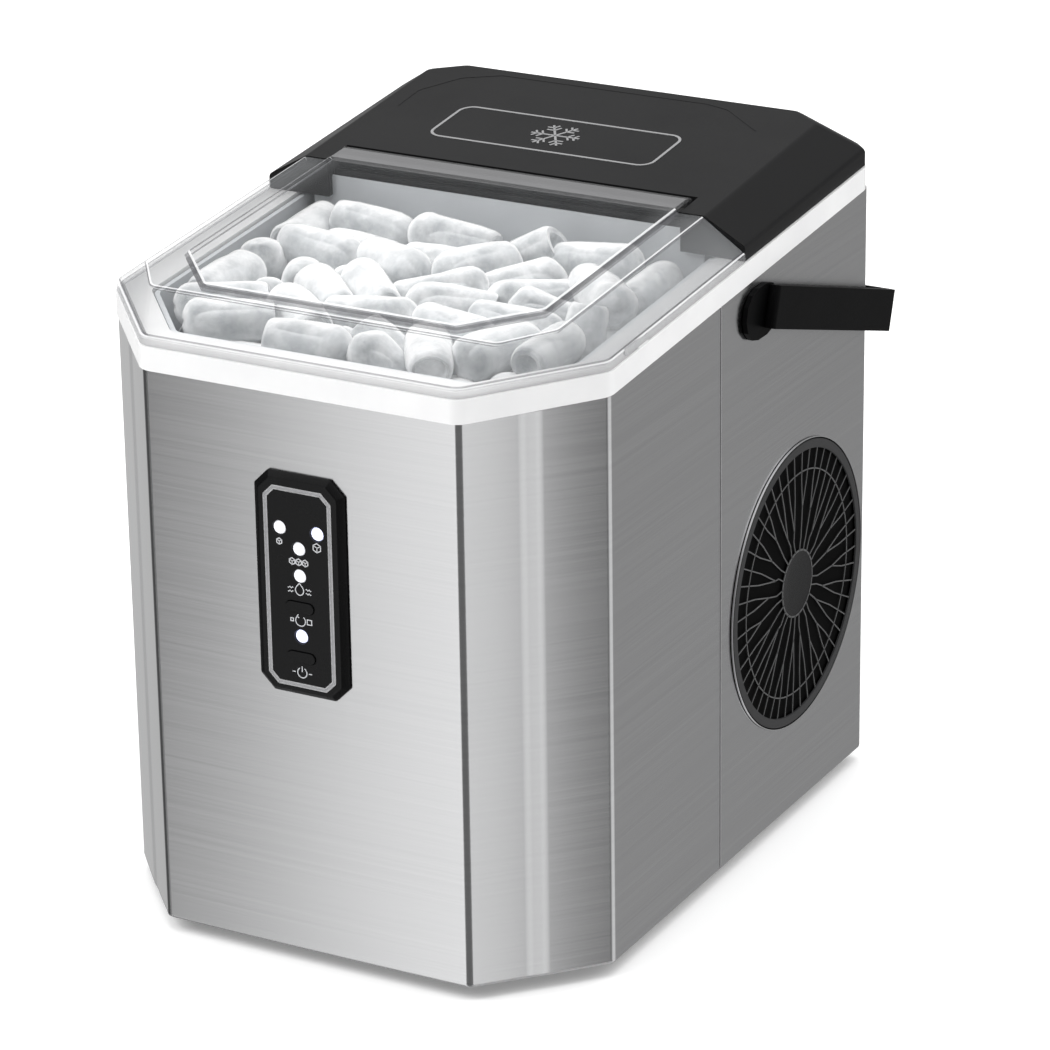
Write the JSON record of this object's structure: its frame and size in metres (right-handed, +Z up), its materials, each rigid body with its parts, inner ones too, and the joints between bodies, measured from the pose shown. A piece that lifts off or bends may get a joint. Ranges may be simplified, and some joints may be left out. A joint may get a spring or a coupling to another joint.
{
  "type": "portable ice maker",
  "caption": "Countertop bullet ice maker: steel cabinet with cut front corners, tilted top, hinged clear lid over an ice basket, side fan grille and swing-up carrying handle.",
  "frame": {"origin": "bottom centre of the whole machine's box, on the surface its four feet stand on", "axes": "+X to the machine's right as it faces the user, +Y towards its back, +Z up"},
  "size_m": [0.2352, 0.2956, 0.2896],
  "materials": {
    "brushed_steel": "horizontal brushed stainless steel, satin",
    "white_gloss": "white moulded plastic, gloss",
    "pale_liner": "pale grey moulded plastic, satin",
    "black_satin": "black moulded plastic, fine satin grain",
    "black_matte": "black moulded plastic, matte",
    "black_gloss": "piano black plastic, high gloss",
    "smoky_clear": "clear moulded plastic with a faint grey tint",
    "black_rubber": "black rubber, matte",
    "copper_pipe": "drawn copper, slightly dulled",
    "nickel_plate": "nickel plated metal, satin bright",
    "aluminium_fins": "plain aluminium fins",
    "black_painted_steel": "black powder coat",
    "circuit_board": "green solder mask",
    "lamp_lens": "milky diffusing lens",
    "silicone_hose": "translucent silicone tube"
  },
  "bodies": {
    "cabinet": {"base_plate": "black_painted_steel", "foot_front_left": "black_rubber", "foot_front_right": "black_rubber", "foot_rear_left": "black_rubber", "foot_rear_right": "black_rubber", "front_wrap": "brushed_steel", "rear_wrap": "brushed_steel", "rear_screw_low_left": "nickel_plate", "rear_screw_low_right": "nickel_plate", "rear_screw_high_left": "nickel_plate", "rear_screw_high_right": "nickel_plate", "top_rim": "white_gloss", "hinge_pin_left": "nickel_plate", "hinge_pin_right": "nickel_plate", "rear_cover": "black_satin", "inner_liner": "pale_liner", "ice_sensor_left": "black_matte", "ice_sensor_right": "black_matte", "evaporator": "nickel_plate", "tray_motor": "black_matte", "tray_bearing_left": "white_gloss", "tray_bearing_right": "white_gloss", "control_bezel": "black_gloss", "led_small_cube": "lamp_lens", "led_large_cube": "lamp_lens", "led_ice_full": "lamp_lens", "led_add_water": "lamp_lens", "led_power": "lamp_lens", "control_board": "circuit_board", "power_board": "circuit_board", "compressor": "black_painted_steel", "compressor_bracket": "black_painted_steel", "condenser": "aluminium_fins", "fan_motor": "black_painted_steel", "fan_shroud": "black_matte", "side_grille": "black_matte", "suction_line": "copper_pipe", "discharge_line": "copper_pipe", "filter_drier": "copper_pipe", "liquid_line": "copper_pipe", "capillary_line": "copper_pipe", "hot_gas_valve": "black_satin", "water_pump": "black_matte", "pump_inlet_hose": "silicone_hose", "pump_outlet_hose": "silicone_hose", "drain_hose": "silicone_hose", "drain_spout": "white_gloss", "cord_gland": "black_matte", "handle_mount_left": "black_matte", "handle_mount_right": "black_matte"},
    "lid": {"lid": "smoky_clear"},
    "handle": {"carry_handle": "black_matte"},
    "basket": {"ice_basket": "white_gloss"},
    "tray": {"water_tray": "pale_liner"},
    "shovel": {"ice_shovel": "white_gloss"},
    "fan": {"fan_blades": "black_matte", "fan_shaft": "nickel_plate"},
    "select_key": {"select_button": "black_matte"},
    "power_key": {"power_button": "black_matte"},
    "drain_plug": {"drain_plug": "black_rubber"}
  },
  "joints": [
    {"name": "lid_hinge", "type": "hinge", "parent": "cabinet", "child": "lid", "pos_m": [0, 0.02798, 0.2767], "axis": [-1, 0, 0], "range_deg": [0, 92]},
    {"name": "handle_pivot", "type": "hinge", "parent": "cabinet", "child": "handle", "pos_m": [0, 0.03648, 0.2385], "axis": [1, 0, 0], "range_deg": [0, 100]},
    {"name": "basket_lift", "type": "slide", "parent": "cabinet", "child": "basket", "axis": [0, 0, 1], "range_m": [0, 0.006]},
    {"name": "tray_tilt", "type": "hinge", "parent": "cabinet", "child": "tray", "pos_m": [0, 0.04748, 0.216], "axis": [1, 0, 0], "range_deg": [0, 60]},
    {"name": "shovel_push", "type": "slide", "parent": "cabinet", "child": "shovel", "axis": [0, -1, 0], "range_m": [0, 0.055]},
    {"name": "fan_spin", "type": "hinge", "parent": "cabinet", "child": "fan", "pos_m": [0.088, 0.06628, 0.1072], "axis": [1, 0, 0], "continuous": true},
    {"name": "select_press", "type": "slide", "parent": "cabinet", "child": "select_key", "axis": [0, 1, 0], "range_m": [0, 0.001], "stiffness_N_per_m": 400},
    {"name": "power_press", "type": "slide", "parent": "cabinet", "child": "power_key", "axis": [0, 1, 0], "range_m": [0, 0.001], "stiffness_N_per_m": 400},
    {"name": "plug_pull", "type": "slide", "parent": "cabinet", "child": "drain_plug", "axis": [0, 1, 0], "range_m": [0, 0.025]}
  ],
  "couplings": [
    {"joint": "shovel_push", "follows": "tray_tilt", "m_per_rad": 0.0525}
  ]
}
